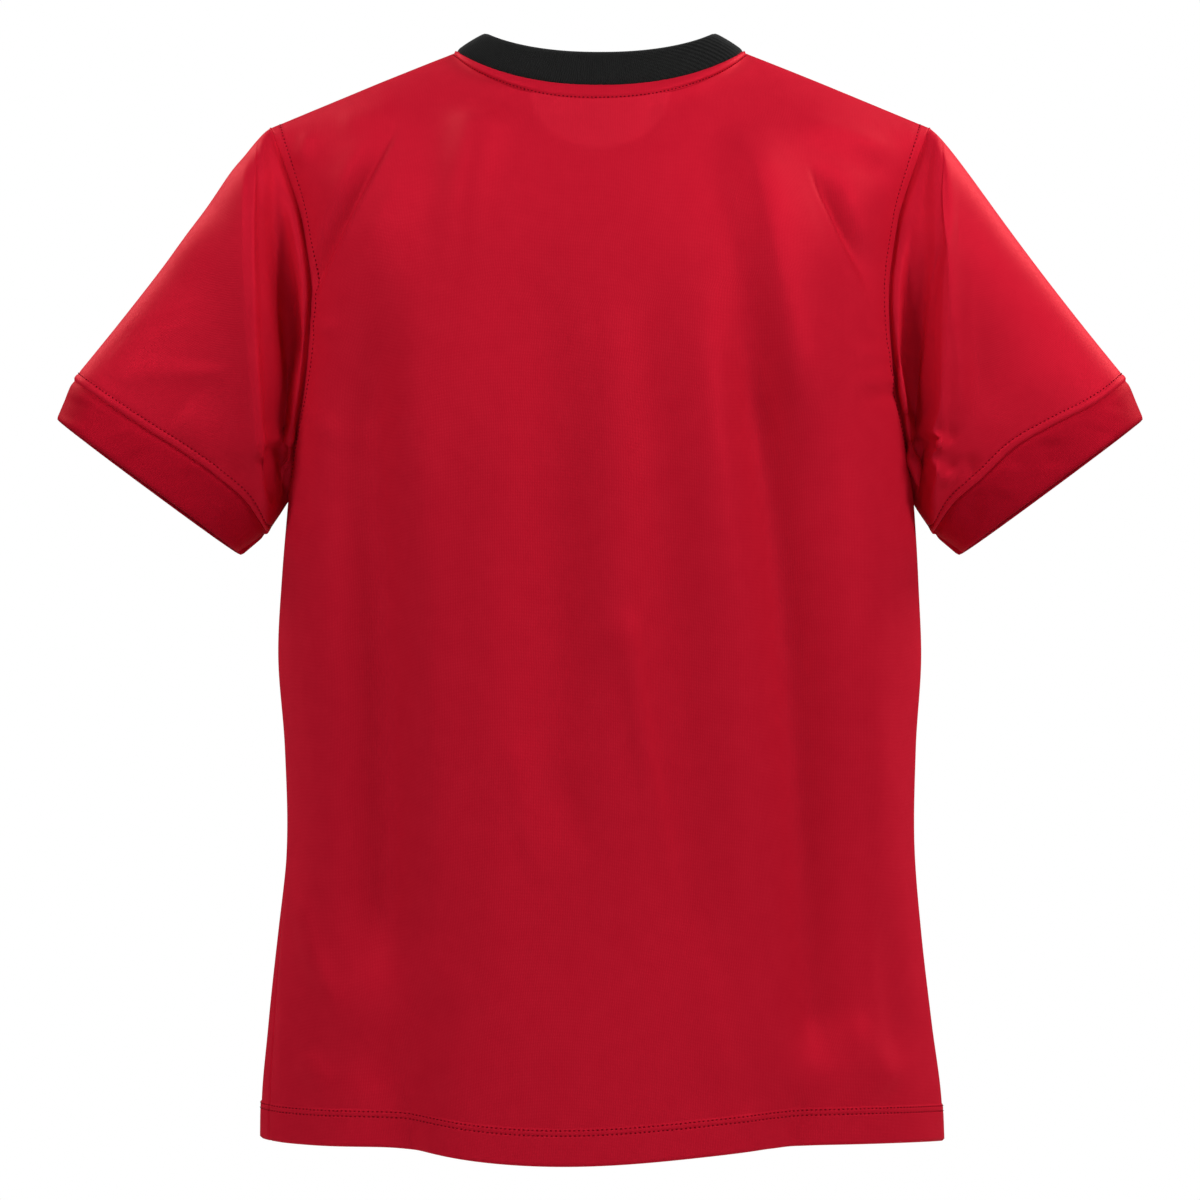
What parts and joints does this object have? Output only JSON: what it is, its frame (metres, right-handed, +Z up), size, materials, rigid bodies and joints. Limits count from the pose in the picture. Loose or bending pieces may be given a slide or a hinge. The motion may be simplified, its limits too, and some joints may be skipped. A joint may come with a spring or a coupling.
{
  "type": "football jersey",
  "caption": "Short-sleeved football jersey with a ribbed crew collar, sleeve bands and a turned hem, filled out as if worn.",
  "frame": {"origin": "midway between the two points where the shoulder seams meet the neck, level with them, where a wearer's neck and shoulders hold the jersey up", "axes": "+Z up, +Y out of the jersey's back, +X towards the wearer's left sleeve"},
  "size_m": [0.7028, 0.2471, 0.7197],
  "materials": {
    "knit": "smooth satin polyester interlock knit, red",
    "band": "matt red knit band",
    "rib": "matt black fine rib knit",
    "patch": "plain red knit patch"
  },
  "bodies": {
    "root": {"back_panel": "knit", "front_panel": "knit", "sleeve_left": "knit", "sleeve_right": "knit", "cuff_left": "band", "cuff_right": "band", "collar": "rib", "neck_tape": "knit", "neck_patch": "patch"}
  },
  "joints": []
}
